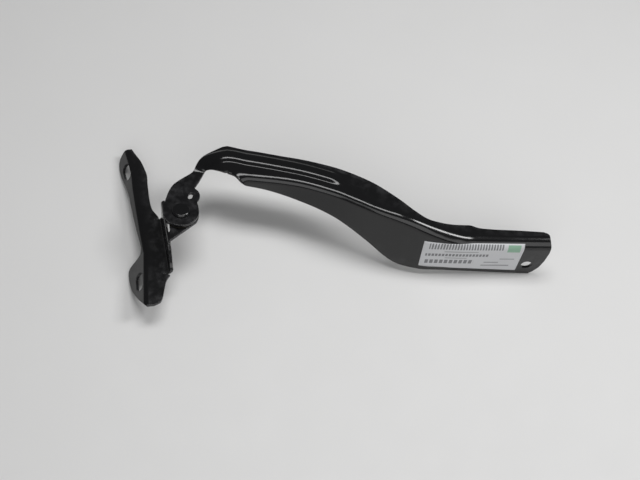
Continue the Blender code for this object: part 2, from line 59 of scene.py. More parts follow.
CAMERA_PLACE = (9.2, -582.0, 768.8)
CAMERA_RIGHT = (0.99164, -0.06536, 0.11122)
CAMERA_UP = (-0.01186, 0.81230, 0.58312)
FOCAL_LENGTH = 56.25
SENSOR_WIDTH = 36.0


def place_camera():
    camera = bpy.data.objects.new("camera", bpy.data.cameras.new("camera"))
    bpy.context.scene.collection.objects.link(camera)
    right = Vector(CAMERA_RIGHT)
    up = Vector(CAMERA_UP)
    camera.matrix_world = Matrix((right, up, right.cross(up))).transposed().to_4x4()
    camera.location = from_pivot(*CAMERA_PLACE)
    camera.data.sensor_width = SENSOR_WIDTH
    camera.data.lens = FOCAL_LENGTH
    camera.data.clip_start = 0.01
    bpy.context.scene.camera = camera


# Table and lights

TABLE_TOUCHES = [(-49.0, -34.0, -55.0), (-64.0, 94.0, -48.0), (340.0, -31.0, -51.0)]
TABLE_SIDE = 6.0
ROOM_COLOUR = (0.98, 0.99, 1.0, 1.0)
ROOM_STRENGTH = 0.11
LAMP_AIM = (150, 0, 0)
LAMPS = [
    # name, place, width and height in metres, watts
    ("ceiling_lamp", (150, 250, 1500), 0.9, 0.5, 10.6),
    ("window", (1150, 0, 1250), 0.4, 0.5, 9.5),
    ("front_fill", (150, -1400, 900), 2.0, 1.3, 13.0),
]


def lay_table(finish):
    """The table passes under the tips of both lugs and the lower edge of the hood flange."""
    a, b, c = (from_pivot(*touch) for touch in TABLE_TOUCHES)
    normal = (c - a).cross(b - a).normalized()
    if normal.z < 0:
        normal = -normal
    mesh = bpy.data.meshes.new("table")
    half = TABLE_SIDE / 2
    corners = [(-half, -half, 0), (half, -half, 0), (half, half, 0), (-half, half, 0)]
    mesh.from_pydata(corners, [], [(0, 1, 2, 3)])
    table = bpy.data.objects.new("table", mesh)
    bpy.context.scene.collection.objects.link(table)
    table.matrix_world = Matrix.Translation(a) @ normal.to_track_quat("Z", "Y").to_matrix().to_4x4()
    table.data.materials.append(finish)


def soft_lamp(name, place, width, height, watts):
    lamp = bpy.data.lights.new(name, "AREA")
    lamp.shape = "RECTANGLE"
    lamp.size = width
    lamp.size_y = height
    lamp.energy = watts
    holder = bpy.data.objects.new(name, lamp)
    bpy.context.scene.collection.objects.link(holder)
    holder.location = from_pivot(*place)
    to_aim = from_pivot(*LAMP_AIM) - holder.location
    holder.rotation_euler = to_aim.to_track_quat("-Z", "Y").to_euler()


def light_the_room():
    world = bpy.data.worlds.new("room")
    world.use_nodes = True
    back = world.node_tree.nodes["Background"]
    back.inputs["Color"].default_value = ROOM_COLOUR
    back.inputs["Strength"].default_value = ROOM_STRENGTH
    bpy.context.scene.world = world
    for lamp in LAMPS:
        soft_lamp(*lamp)


# Shader maths

class Value:
    """A node socket that adds its Math nodes when it is used in an expression."""

    def __init__(self, tree, socket):
        self.tree = tree
        self.socket = socket

    def _math(self, operation, other, swapped=False):
        node = self.tree.nodes.new("ShaderNodeMath")
        node.operation = operation
        pair = (other, self) if swapped else (self, other)
        for socket, value in zip(node.inputs, pair):
            if isinstance(value, Value):
                self.tree.links.new(value.socket, socket)
            else:
                socket.default_value = value
        return Value(self.tree, node.outputs[0])

    def __add__(self, other):
        return self._math("ADD", other)

    __radd__ = __add__

    def __sub__(self, other):
        return self._math("SUBTRACT", other)

    def __rsub__(self, other):
        return self._math("SUBTRACT", other, True)

    def __mul__(self, other):
        return self._math("MULTIPLY", other)

    __rmul__ = __mul__

    def __mod__(self, other):
        return self._math("FLOORED_MODULO", other)

    def above(self, limit):
        return self._math("GREATER_THAN", limit)

    def below(self, limit):
        return self._math("LESS_THAN", limit)

    def between(self, low, high):
        return self.above(low) * self.below(high)

    def or_more(self, other):
        return self._math("MAXIMUM", other)


class Finish:
    """A material with one Principled shader."""

    def __init__(self, name, colour, roughness, metallic=0.0):
        self.material = bpy.data.materials.new(name)
        self.material.use_nodes = True
        self.tree = self.material.node_tree
        self.shader = self.tree.nodes["Principled BSDF"]
        self.set("Base Color", (*colour, 1.0))
        self.set("Roughness", roughness)
        self.set("Metallic", metallic)

    def set(self, socket, value):
        target = self.shader.inputs[socket]
        if isinstance(value, Value):
            self.tree.links.new(value.socket, target)
        else:
            target.default_value = value

    def node(self, kind, settings=None, output=0, **inputs):
        """Any other node: its settings first, then the values or links of its sockets.

        A socket goes by its name, with _ for each space, or by its number, as in _0.
        """
        made = self.tree.nodes.new("ShaderNode" + kind)
        for key, value in (settings or {}).items():
            setattr(made, key, value)
        for key, value in inputs.items():
            target = made.inputs[int(key[1:])] if key[0] == "_" else made.inputs[key.replace("_", " ")]
            if isinstance(value, Value):
                self.tree.links.new(value.socket, target)
            else:
                target.default_value = value
        return Value(self.tree, made.outputs[output])

    def where(self):
        return self.node("TexCoord", output=3)

    def axes(self):
        """The piece's own X, Y and Z in millimetres."""
        where = self.where()
        return [self.node("SeparateXYZ", output=k, Vector=where) * 1000.0 for k in range(3)]

    def noise(self, scale, detail=2.0, roughness=0.5):
        where = self.where()
        return self.node("TexNoise", Vector=where, Scale=scale, Detail=detail, Roughness=roughness)

    def steps(self, factor, low, high):
        """0 below low and 1 above high, with an even slope between them."""
        return self.node("MapRange", Value=factor, From_Min=low, From_Max=high)

    def mix(self, factor, first, second):
        first, second = (c if isinstance(c, Value) else (*c, 1.0) for c in (first, second))
        return self.node("Mix", {"data_type": "RGBA"}, 2, _0=factor, _6=first, _7=second)

    def bump(self, height, distance, strength=1.0):
        self.set("Normal", self.node("Bump", Strength=strength, Distance=distance, Height=height))


def dip_coat():
    """Gloss black dip coat on pressed steel: a ripple, dust, rub marks, and on rims a thinner coat
    with a painted highlight.
    """
    coat = Finish("gloss_black", (0.010, 0.010, 0.011), 0.18)
    rim = coat.node("Attribute", {"attribute_name": "rim"}, 2)
    cloud = coat.noise(38.0, 3.0, 0.55)
    speck = coat.noise(900.0, 2.0, 0.6)
    dust = coat.steps(cloud, 0.50, 0.72) * coat.steps(speck, 0.56, 0.74)
    # On rims the colour turns lighter, partly for a thinner coat and partly as a painted highlight;
    # the roughness rises there for the thinner coat.
    thin_coat_and_painted_highlight = rim * coat.steps(coat.noise(120.0, 3.0, 0.6), 0.42, 0.7)
    dusty = coat.mix(dust * 0.10, (0.005, 0.005, 0.0055), (0.060, 0.058, 0.056))
    coat.set("Base Color", coat.mix(thin_coat_and_painted_highlight * 0.5, dusty, (0.040, 0.040, 0.042)))
    rub = coat.steps(coat.noise(75.0, 4.0, 0.62), 0.52, 0.74)
    coat.set("Roughness", 0.14 + rub * 0.03 + dust * 0.05 + thin_coat_and_painted_highlight * 0.08)
    coat.bump(coat.noise(70.0, 1.0, 0.3) + coat.noise(480.0, 1.0, 0.3) * 0.03, 0.00010, 0.4)
    return coat.material


def bush_metal():
    """Dull bronze with a fine grain and darker handling marks."""
    bush = Finish("bush_bronze", (0.45, 0.40, 0.28), 0.42, 0.6)
    patina = bush.steps(bush.noise(190.0, 3.0, 0.6), 0.4, 0.7)
    bush.set("Base Color", bush.mix(patina, (0.50, 0.45, 0.32), (0.30, 0.25, 0.16)))
    bush.set("Roughness", 0.36 + patina * 0.2)
    bush.bump(bush.noise(1500.0, 1.0, 0.5), 0.00003, 0.5)
    return bush.material


def plated_steel():
    """Dark zinc plating with cloudy crystals."""
    zinc = Finish("dark_zinc", (0.06, 0.06, 0.065), 0.35, 0.7)
    cloud = zinc.steps(zinc.noise(260.0, 3.0, 0.55), 0.38, 0.68)
    zinc.set("Base Color", zinc.mix(cloud, (0.05, 0.05, 0.055), (0.09, 0.09, 0.092)))
    zinc.set("Roughness", 0.28 + cloud * 0.18)
    zinc.bump(zinc.noise(1100.0, 2.0, 0.5), 0.00003, 0.4)
    return zinc.material


INK = (0.085, 0.088, 0.095)
GREEN_FIELD = (0.16, 0.36, 0.22)


def sticker_film():
    """Satin white film with plain printed bars, dashes and lines, and one soft green field.

    The print is placed by millimetres along the film and by millimetres down from its top edge.
    """
    film = Finish("label_white", (0.62, 0.64, 0.66), 0.38)
    x, y, z = film.axes()
    along = x - (pivot.x / MM + STICKER_START)
    drop = (pivot.z / MM + STICKER_TOP - z) + (pivot.y / MM + STICKER_TOP_Y - y)
    bars = drop.between(1.4, 10.6) * along.between(6.0, 80.0) * (along % 2.8).below(1.6)
    dashes = drop.between(17.6, 21.6) * along.between(4.0, 68.0) * (along % 3.4).below(2.4)
    blocks = drop.between(27.5, 33.5) * along.between(5.0, 54.0) * (along % 4.9).below(3.4)
    rules = drop.between(13.6, 14.9) * along.between(22.0, 56.0)
    rules = rules.or_more(drop.between(23.8, 25.0) * along.between(24.0, 46.0))
    rules = rules.or_more(drop.between(24.4, 26.0) * along.between(80.0, 95.0))
    rules = rules.or_more(drop.between(30.2, 32.0) * along.between(65.0, 80.0))
    rules = rules.or_more(drop.between(35.2, 37.2) * along.between(63.0, 92.0))
    print_on = bars.or_more(dashes).or_more(blocks).or_more(rules * 0.7)
    field = along.between(84.5, 97.5) * drop.between(2.4, 13.6)
    paper = film.mix(film.noise(55.0, 3.0, 0.5), (0.53, 0.535, 0.55), (0.59, 0.595, 0.61))
    printed = film.mix(print_on * 0.8, paper, INK)
    film.set("Base Color", film.mix(field * 0.8, printed, GREEN_FIELD))
    film.set("Roughness", 0.34 + film.noise(140.0) * 0.16 + print_on * 0.08)
    film.bump(film.noise(70.0, 2.0, 0.5) + film.noise(1400.0) * 0.05, 0.00012, 0.35)
    return film.material


def table_top():
    """Pale board, faintly mottled."""
    top = Finish("table_top", (0.67, 0.668, 0.664), 0.6)
    cloud = top.noise(9.0, 3.0, 0.5) * 0.6 + top.noise(420.0, 2.0, 0.6) * 0.4
    top.set("Base Color", top.mix(cloud, (0.655, 0.653, 0.649), (0.685, 0.683, 0.679)))
    top.set("Roughness", 0.5 + top.noise(30.0) * 0.2)
    top.bump(top.noise(600.0, 2.0, 0.5), 0.00005, 0.3)
    return top.material


# Sizes that several pieces share

SHEET = 3.0
GAP = 0.3
RIVET_RADIUS = 5.0
BUSH_THICKNESS = 1.6
EYE_LEVEL = GAP + BUSH_THICKNESS + GAP + SHEET / 2

# Sheet work: angles in degrees, apart from FLAT_ANGLE in radians, and MERGE_DISTANCE in metres

RIM_ROUND = 0.42
RIM_ANGLE = 40
RIM_MARK_ANGLE = 22
RIM_OVERSHOOT = 0.5
FLAT_ANGLE = 0.0015
MERGE_DISTANCE = 2e-6


def smooth(keys, at):
    """A smooth curve through the keys (place, value, ...), read at one place."""
    keys = np.asarray(keys, float)
    x, y = keys[:, 0], keys[:, 1:]
    slopes = np.gradient(y, x, axis=0)
    i = int(np.clip(np.searchsorted(x, at) - 1, 0, len(x) - 2))
    h = x[i + 1] - x[i]
    t = np.clip((at - x[i]) / h, 0.0, 1.0)
    a = (1 + 2 * t) * (1 - t) ** 2
    b = t * (1 - t) ** 2
    c = t * t * (3 - 2 * t)
    d = t * t * (t - 1)
    return a * y[i] + b * h * slopes[i] + c * y[i + 1] + d * h * slopes[i + 1]


def ease(t):
    """A share from 0 to 1 with a soft start and a soft end."""
    t = np.clip(t, 0.0, 1.0)
    return t * t * (3 - 2 * t)


def turn_points(start, along, across, radius, angle, steps):
    """Points of a bend that starts at a point, runs along one direction and turns towards another."""
    out = []
    for k in range(1, steps + 1):
        a = np.radians(angle) * k / steps
        out.append(start + radius * (np.sin(a) * along + (1 - np.cos(a)) * across))
    return out


def turned(along, across, angle):
    """A direction turned by some degrees towards another one that is square to it."""
    a = np.radians(angle)
    return np.cos(a) * along + np.sin(a) * across


def arc(centre, radius, start, end, steps):
    angles = np.radians(np.linspace(start, end, steps))
    return [(centre[0] + radius * np.cos(a), centre[1] + radius * np.sin(a)) for a in angles]


def slot_outline(length, radius, steps=15):
    """A slot with round ends, long in its own X."""
    half = length / 2 - radius
    return arc((half, 0), radius, -90, 90, steps) + arc((-half, 0), radius, 90, 270, steps)


def new_piece(name, mesh):
    piece = bpy.data.objects.new(name, mesh)
    bpy.context.scene.collection.objects.link(piece)
    return piece


def as_mesh(name, bm):
    mesh = bpy.data.meshes.new(name)
    bm.to_mesh(mesh)
    bm.free()
    return mesh


def lofted(name, rows, skip, place):
    """An open sheet through rows of points. skip(row, column) leaves out the face after that point."""
    bm = bmesh.new()
    grid = [[bm.verts.new(pivot + place @ (Vector(p) * MM)) for p in row] for row in rows]
    for i in range(len(rows) - 1):
        for j in range(len(rows[0]) - 1):
            if not skip(i, j):
                bm.faces.new((grid[i][j], grid[i][j + 1], grid[i + 1][j + 1], grid[i + 1][j]))
    loose = [v for v in bm.verts if not v.link_faces]
    bmesh.ops.delete(bm, geom=loose, context="VERTS")
    return new_piece(name, as_mesh(name, bm))


def punch(outline, low, high, place):
    """A closed outline in its own X and Y, run from one height to another, as a cutting tool."""
    bm = bmesh.new()
    foot = [bm.verts.new(pivot + place @ (Vector((x, y, low)) * MM)) for x, y in outline]
    head = [bm.verts.new(pivot + place @ (Vector((x, y, high)) * MM)) for x, y in outline]
    bm.faces.new(foot[::-1])
    bm.faces.new(head)
    for k in range(len(outline)):
        bm.faces.new((foot[k - 1], foot[k], head[k], head[k - 1]))
    bmesh.ops.recalc_face_normals(bm, faces=bm.faces)
    return new_piece("punch", as_mesh("punch", bm))


def work_in(piece):
    """Puts the piece's modifiers into its mesh."""
    graph = bpy.context.evaluated_depsgraph_get()
    mesh = bpy.data.meshes.new_from_object(piece.evaluated_get(graph))
    piece.modifiers.clear()
    piece.data = mesh


def thicken(piece, thickness, offset=0.0):
    """Gives an open sheet its thickness, half on each side of it where the offset is 0."""
    solid = piece.modifiers.new("sheet", "SOLIDIFY")
    solid.thickness = thickness * MM
    solid.offset = offset
    solid.use_even_offset = True


def even_normals(piece):
    """Smooth shading that large flat faces keep flat."""
    for face in piece.data.polygons:
        face.use_smooth = True
    piece.modifiers.new("normals", "WEIGHTED_NORMAL").keep_sharp = False
    work_in(piece)


def cut(piece, tools, operation="DIFFERENCE"):
    """Cuts the tools out of the piece, or keeps what lies inside them, and clears them away."""
    for tool in tools:
        step = piece.modifiers.new("cut", "BOOLEAN")
        step.operation = operation
        step.object = tool
        step.solver = "EXACT"
    work_in(piece)
    for tool in tools:
        bpy.data.objects.remove(tool)


def round_rims(piece, width):
    """Rounds the sheared rims and marks them with the attribute rim, for the thinner coat and the
    painted highlight there.

    Points that the rounding throws off the sheet, by RIM_OVERSHOOT of its width, go back onto it.
    """
    bm = bmesh.new()
    bm.from_mesh(piece.data)
    bmesh.ops.remove_doubles(bm, verts=bm.verts, dist=MERGE_DISTANCE)
    bmesh.ops.dissolve_limit(bm, angle_limit=FLAT_ANGLE, verts=bm.verts, edges=bm.edges)
    for face in bm.faces:
        face.smooth = True
    sheared = BVHTree.FromBMesh(bm)
    piece.data = as_mesh(piece.name, bm)
    rounding = piece.modifiers.new("rims", "BEVEL")
    rounding.width = width * MM
    rounding.segments = 2
    rounding.limit_method = "ANGLE"
    rounding.angle_limit = np.radians(RIM_ANGLE)
    rounding.use_clamp_overlap = False
    work_in(piece)
    bm = bmesh.new()
    bm.from_mesh(piece.data)
    rim = bm.verts.layers.float.new("rim")
    for vert in bm.verts:
        nearest, _, _, distance = sheared.find_nearest(vert.co)
        if distance > RIM_OVERSHOOT * width * MM:
            vert.co = nearest
    for vert in bm.verts:
        bends = [edge.calc_face_angle(0.0) for edge in vert.link_edges]
        vert[rim] = 1.0 if max(bends, default=0.0) > np.radians(RIM_MARK_ANGLE) else 0.0
    piece.data = as_mesh(piece.name, bm)
    even_normals(piece)


# Hood arm

EYE_RADIUS = 17.0
LOBE_RADIUS = 17.8
ARM_REACH = 365.0
ARM_JOGGLE = 13.4
ARM_DROP = 18.6
ARM_DROP_START = 203.0
ARM_DROP_RUN = 85.0
FLANGE_START = 44.0
FOLD_START = 50.0
FOLD_RUN = 15.0
FLANGE_Y = -31.0
BEAM_BEND_RADIUS = 5.5
HOOD_BEND_RADIUS = 9.0
HOOD_BEND_START = 190.0
HOOD_BEND_RUN = 60.0
LARGEST_BEND_SHARE = 0.75
HOOD_CORNER_RADIUS = 5.0
END_SETBACK = 2.6
BEAD_HEIGHT = 2.2
BEAD_HALF_WIDTH = 5.6
BEAD_START = 8.0
BEAD_END = 158.0
BEAD_RUNOUT = 16.0
BEAD_SHARE = 0.38
BEAD_SHIFT = 0.12
BEAD_SHIFT_START = 40.0
BEAD_SHIFT_RUN = 110.0
GAUGE_HOLE_RADIUS = 2.1
GAUGE_HOLE_LENGTH = 7.2
GAUGE_HOLE_TURN = 72.0
GAUGE_HOLE = (8.6, 18.4)
HOOD_HOLE_RADIUS = 5.4
HOOD_HOLE_PITCH = 76.0
HOOD_HOLE_FROM_END = 19.5
HOOD_HOLE_DROP = 33.5
BEAM_LEVEL = EYE_LEVEL + ARM_JOGGLE
HOOD_LEVEL = BEAM_LEVEL - ARM_DROP

BEND_STEPS = 12
WEB_STEPS = 40
FLANGE_STEPS = 6
NECK_SPLIT = 5
STATION_STEP = 2.0

NECK_EDGE = [
    # outer x and y, inner x and y, share of the joggle climbed
    (-16.8, 6.0, 16.4, 6.0, 0.0),
    (-15.6, 11.5, 15.2, 11.5, 0.0),
    (-14.6, 15.5, LOBE_RADIUS - 0.8, 15.5, 0.0),
    (-13.4, 20.0, LOBE_RADIUS, 20.0, 0.0),
    (-12.0, 24.5, LOBE_RADIUS - 1.6, 24.5, 0.0),
    (-10.2, 28.5, 12.8, 28.5, 0.0),
    (-7.4, 33.0, 14.4, 32.5, 0.0),
    (-2.2, 38.0, 16.8, 37.0, 0.0),
    (3.0, 42.2, 18.9, 41.5, 0.0),
    (8.4, 46.4, 20.8, 45.8, 0.0),
    (11.8, 50.6, 22.4, 49.0, 0.02),
    (14.2, 55.6, 24.4, 50.2, 0.16),
    (18.4, 60.8, 27.6, 48.6, 0.36),
    (25.2, 65.2, 32.0, 45.2, 0.62),
    (33.2, 67.8, 37.0, 41.4, 0.88),
    (39.4, 70.4, 41.2, 39.0, 0.98),
]

BEAM_EDGE = [
    # x, outer y, bend y
    (FLANGE_START, 71.5, 31.8),
    (48, 70.6, 32.3),
    (52, 69.4, 32.6),
    (62, 66.9, 30.6),
    (74, 64.7, 29.4),
    (96, 60.2, 27.0),
    (116, 56.4, 23.2),
    (138, 50.6, 16.2),
    (153, 45.6, 10.2),
    (168, 38.8, 2.6),
    (188, 27.2, -7.8),
    (211, 8.2, -17.4),
    (224, -2.6, -21.6),
    (236, -9.4, -25.2),
    (250, -10.9, -28.0),
    (264, -10.1, -29.8),
    (276, -8.7, FLANGE_Y),
    (283, -8.3, FLANGE_Y),
    (290, -10.9, FLANGE_Y),
    (304, -12.6, FLANGE_Y),
    (328, -13.6, FLANGE_Y),
    (355, -15.2, FLANGE_Y),
    (ARM_REACH, -16.0, FLANGE_Y),
]

FLANGE_EDGE = [
    # x, depth of the lower edge below the beam's web, how far it leans out
    (FLANGE_START, 1.0, 0.0),
    (48, 3.0, 0.0),
    (52, 5.4, 0.0),
    (57, 8.6, 0.0),
    (62, 10.2, 0.0),
    (68, 11.2, 0.0),
    (78, 12.8, 0.0),
    (96, 16.6, 1.0),
    (116, 20.0, 3.4),
    (138, 24.2, 4.6),
    (153, 28.6, 5.0),
    (168, 35.6, 4.6),
    (188, 46.6, 4.6),
    (200, 54.6, 5.4),
    (211, 59.6, 6.2),
    (236, 61.8, 5.2),
    (260, 62.6, 1.6),
    (288, 64.2, 0.0),
    (328, 66.6, 0.0),
    (ARM_REACH, 68.0, 0.0),
]


def web_row(outer, inner, level, x):
    """Points across the web with the pressed bead raised on it."""
    outer = np.array(outer, float)
    inner = np.array(inner, float)
    width = np.linalg.norm(inner - outer)
    run = ease((x - BEAD_START) / BEAD_RUNOUT) * ease((BEAD_END - x) / BEAD_RUNOUT)
    centre = BEAD_SHARE + BEAD_SHIFT * ease((x - BEAD_SHIFT_START) / BEAD_SHIFT_RUN)
    flank = BEAD_HALF_WIDTH / 2
    row = []
    for k in range(WEB_STEPS + 1):
        share = k / WEB_STEPS
        place = outer + (inner - outer) * share
        off = abs(share - centre) * width
        rise = BEAD_HEIGHT * run * ease((BEAD_HALF_WIDTH + flank - off) / (2 * flank))
        row.append(np.array([place[0], place[1], level + rise]))
    return row


def neck_rows():
    """Sections across the eye and up the neck, before the flange starts."""
    rows = []
    for a in np.radians(np.linspace(6, 90, 22)):
        side = EYE_RADIUS * np.sin(a)
        y = -EYE_RADIUS * np.cos(a)
        rows.append(web_row((-side, y), (side, y), EYE_LEVEL, -side))
    keys = [(i, *key) for i, key in enumerate(NECK_EDGE)]
    for k in range(NECK_SPLIT * (len(keys) - 1) + 1):
        outer_x, outer_y, inner_x, inner_y, climb = smooth(keys, k / NECK_SPLIT)
        level = EYE_LEVEL + ARM_JOGGLE * climb
        rows.append(web_row((outer_x, outer_y), (inner_x, inner_y), level, outer_x))
    return rows


def beam_row(x):
    """One section of the beam: web, bend and flange."""
    out = np.array([0.0, -1.0, 0.0])
    down = np.array([0.0, 0.0, -1.0])
    outer_y, bend_y = smooth(BEAM_EDGE, x)
    depth, lean = smooth(FLANGE_EDGE, x)
    growth = ease((x - HOOD_BEND_START) / HOOD_BEND_RUN)
    radius = BEAM_BEND_RADIUS + (HOOD_BEND_RADIUS - BEAM_BEND_RADIUS) * growth
    level = BEAM_LEVEL - ARM_DROP * ease((x - ARM_DROP_START) / ARM_DROP_RUN)
    face_y = max(bend_y, FLANGE_Y) + SHEET / 2
    row = web_row((x, outer_y), (x, face_y + radius), level, x)
    turn = 1.0 + 89.0 * ease((x - FOLD_START) / FOLD_RUN)
    width = level - BEAM_LEVEL + depth + (np.pi / 2 - 1) * radius * turn / 90
    bend = min(radius * np.pi / 2, LARGEST_BEND_SHARE * width)
    row += turn_points(row[-1], out, down, bend / np.radians(turn), turn, BEND_STEPS)
    corner = row[-1]
    rest = turned(out, down, turn) * (width - bend)
    for j in range(1, FLANGE_STEPS + 1):
        share = j / FLANGE_STEPS
        place = corner + rest * share + out * max(lean, 0.0) * share
        place[1] = max(place[1], FLANGE_Y + SHEET / 2)
        row.append(place)
    return row


def beam_rows():
    count = int(round((ARM_REACH - FLANGE_START) / STATION_STEP))
    return [beam_row(x) for x in np.linspace(FLANGE_START, ARM_REACH, count + 1)]


def end_outline():
    """What is cut from the hood end: the flange's long chamfer and round nose."""
    low = BEAM_LEVEL - 70.0
    top = HOOD_LEVEL + 20.0
    x = ARM_REACH
    nose = [
        # height, how far the end stands back from the arm's reach
        (low - 10.0, 15.0),
        (low + 1.4, 15.0),
        (low + 6.2, 9.6),
        (low + 13.4, 5.2),
        (low + 24.0, 2.4),
        (low + 38.0, 1.0),
        (HOOD_LEVEL - 5.0, 1.4),
        (HOOD_LEVEL, END_SETBACK),
        (top, 4.8),
    ]
    heights = np.concatenate([[low - 10.0, low + 1.4], np.linspace(low + 2.4, top, 40)])
    edge = [(x - np.interp(h, *zip(*nose)), h) for h in heights]
    return edge + [(x + 20.0, top), (x + 20.0, low - 10.0)]


def standing(x, y, z):
    """A place whose own X and Y lie along +X and up, for outlines drawn on the hood flange."""
    turn = Matrix.Rotation(np.radians(90), 4, "X")
    return Matrix.Translation(Vector((x, y, z)) * MM) @ turn


def rivet_bore():
    """The bore that the rivet passes, in the arm's eye and in the bracket's ear."""
    return arc((0, 0), RIVET_RADIUS + GAP, 3, 357, 60)


def press_arm():
    """The hood arm, one sheet from its eye to the hood flange, with all its holes."""
    beam = beam_rows()
    neck = neck_rows()
    extra = BEND_STEPS + FLANGE_STEPS
    rows = [row + [row[-1]] * extra for row in neck] + beam
    first = len(neck)
    here = Matrix.Identity(4)
    arm = lofted("arm_pressing", rows, lambda i, j: i < first and j >= WEB_STEPS, here)
    thicken(arm, SHEET)
    r = HOOD_CORNER_RADIUS
    x, y = ARM_REACH - END_SETBACK, BEAM_EDGE[-1][1]
    corner = arc((x - r, y - r), r, 88, 2, 12) + [(x + 12, y - r), (x + 12, y + 12), (x - r, y + 12)]
    turn = Matrix.Rotation(np.radians(GAUGE_HOLE_TURN), 4, "Z")
    gauge_spot = Matrix.Translation(Vector((*GAUGE_HOLE, 0)) * MM) @ turn
    tools = [
        punch(end_outline(), -60.0, 60.0, standing(0, 0, 0)),
        punch(corner, -60.0, 60.0, here),
        punch(rivet_bore(), -20.0, 20.0, here),
        punch(slot_outline(GAUGE_HOLE_LENGTH, GAUGE_HOLE_RADIUS), -20.0, 20.0, gauge_spot),
    ]
    for k in range(2):
        x = ARM_REACH - HOOD_HOLE_FROM_END - HOOD_HOLE_PITCH * k
        place = standing(x, FLANGE_Y, HOOD_LEVEL - HOOD_HOLE_DROP)
        tools.append(punch(arc((0, 0), HOOD_HOLE_RADIUS, 0, 353, 48), -12.0, 12.0, place))
    cut(arm, tools)
    round_rims(arm, RIM_ROUND)
    return arm


# Base bracket, in its own turned frame: u runs along the bend line, v across the web

BRACKET_TURN = 6.4
BRACKET_PLACE = (-43.0, 10.0, 0.0)
LUG_TILT = 35.0
LUG_BEND_RADIUS = 6.0
WALL_BEND_RADIUS = 5.0
EAR_BEND_RADIUS = 3.5
WALL_OFFSET = 27.0
WALL_FLARE = 2.2
WALL_FLARE_RUN = 50.0
LUG_BEND_SHARE = 0.9
LOWER_LUG_DEPTH = 29.5
UPPER_LUG_DEPTH = 21.0
LUG_SLOT_RADIUS = 5.4
LUG_SLOT_LENGTH = 20.0
LOWER_SLOT = (-63.0, 10.4)
UPPER_SLOT = (72.0, 9.6)
SLOT_TURN = 7.0
EAR_RADIUS = 17.0
EAR_REACH = 42.0
EAR_RELIEF_RADIUS = 1.4
EAR_RELIEF_LENGTH = 11.0
EAR_RELIEF_PLACE = (28.1, -28.5)
UPPER_CREASE = 65.0
UPPER_END_SLOPE = 0.1
WEB_DROP = 30.0
WEB_LEVEL = -WEB_DROP - SHEET / 2
EAR_LEVEL = -SHEET / 2
BRACKET_LOW = -94.5
BRACKET_HIGH = 99.5
WALL_START = -61.0
WALL_END = 3.5
EAR_START = -44.0
BRACKET_WEB_STEPS = 10

BEND_LINE = [
    # u, where the bend to the lugs starts across the web
    (BRACKET_LOW, 3.7),
    (-33, 8.1),
    (-12, 6.6),
    (20, 4.6),
    (48, 3.2),
    (60, 3.2),
    (BRACKET_HIGH, 1.2),
]

LUG_EDGE = [
    # u, how far the turned lug flange reaches from the start of its bend
    (BRACKET_LOW, 1.8),
    (-90, 5.2),
    (-84, 10.6),
    (-75, 0.59 * LOWER_LUG_DEPTH),
    (-67, 0.77 * LOWER_LUG_DEPTH),
    (-59, 0.89 * LOWER_LUG_DEPTH),
    (-50, 0.97 * LOWER_LUG_DEPTH),
    (-43, LOWER_LUG_DEPTH),
    (-39, 0.97 * LOWER_LUG_DEPTH),
    (-36.6, 0.84 * LOWER_LUG_DEPTH),
    (-34.6, 15.0),
    (-32.4, 10.0),
    (-28.4, 6.8),
    (-20, 6.6),
    (-12, 7.4),
    (8, 9.2),
    (29, 10.6),
    (49, 12.6),
    (57, 15.4),
    (66, 0.86 * UPPER_LUG_DEPTH),
    (77, 0.98 * UPPER_LUG_DEPTH),
    (86, UPPER_LUG_DEPTH),
    (92, 0.92 * UPPER_LUG_DEPTH),
    (96, 0.76 * UPPER_LUG_DEPTH),
    (BRACKET_HIGH, 8.0),
]

RIGHT_EDGE = [
    # u, right edge of the web where it has no wall
    (BRACKET_LOW, 9.0),
    (-92.5, 13.8),
    (-88, 17.2),
    (-82, 19.0),
    (-75, 20.8),
    (-69, 22.6),
    (-65, 25.0),
    (WALL_START, 28.0),
    (WALL_END, 22.6),
    (8, 20.8),
    (16, 16.4),
    (24, 14.9),
    (32, 14.4),
    (49, 14.2),
    (61, 14.4),
    (70, 12.6),
    (76, 11.2),
    (81, 9.7),
    (91, 5.3),
    (96, 3.2),
    (BRACKET_HIGH, 1.9),
]


def bend_start(u):
    return np.interp(u, *zip(*BEND_LINE))


def wall_top(u):
    """Height where the wall ends, which falls to the web at its near end."""
    full = EAR_LEVEL - (EAR_BEND_RADIUS - SHEET / 2)
    low = WEB_LEVEL + WALL_BEND_RADIUS + SHEET / 2 + 0.5
    return low + (full - low) * ease((u - WALL_START) / (EAR_START - WALL_START))


